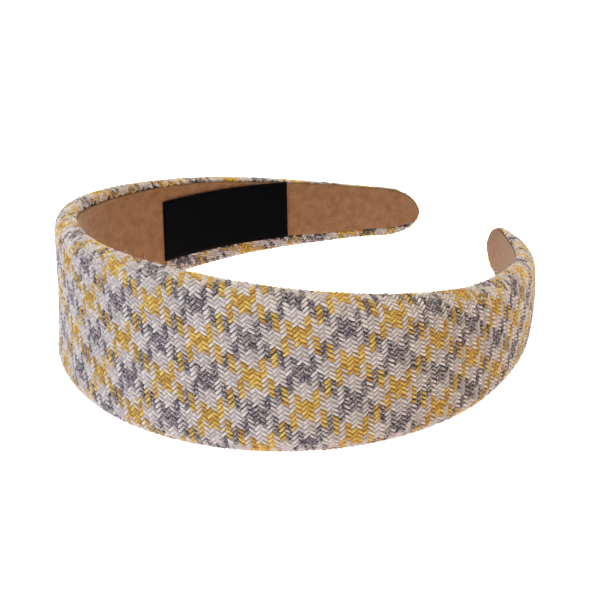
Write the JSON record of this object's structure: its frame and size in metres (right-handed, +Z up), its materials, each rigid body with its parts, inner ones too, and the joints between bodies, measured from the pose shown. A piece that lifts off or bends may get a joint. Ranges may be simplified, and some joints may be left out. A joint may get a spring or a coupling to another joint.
{
  "type": "padded headband",
  "caption": "Wide padded U-shaped headband covered in herringbone tweed, tapering to rounded tips, with a smooth inner lining and a plain woven label",
  "frame": {"origin": "bottom centre of the bounding box, on the surface that the band lies on", "axes": "+Z up, across the width of the band; +Y from the crown of the U towards its open tips; +X towards the right limb, away from the label"},
  "size_m": [0.1358, 0.1476, 0.0489],
  "materials": {
    "tweed": "herringbone tweed of yellow, off-white and mottled grey yarn",
    "lining_cloth": "smooth tan microsuede",
    "label_cloth": "dense black woven satin"
  },
  "bodies": {
    "root": {"cover": "tweed", "lining": "lining_cloth", "label": "label_cloth"}
  },
  "joints": []
}
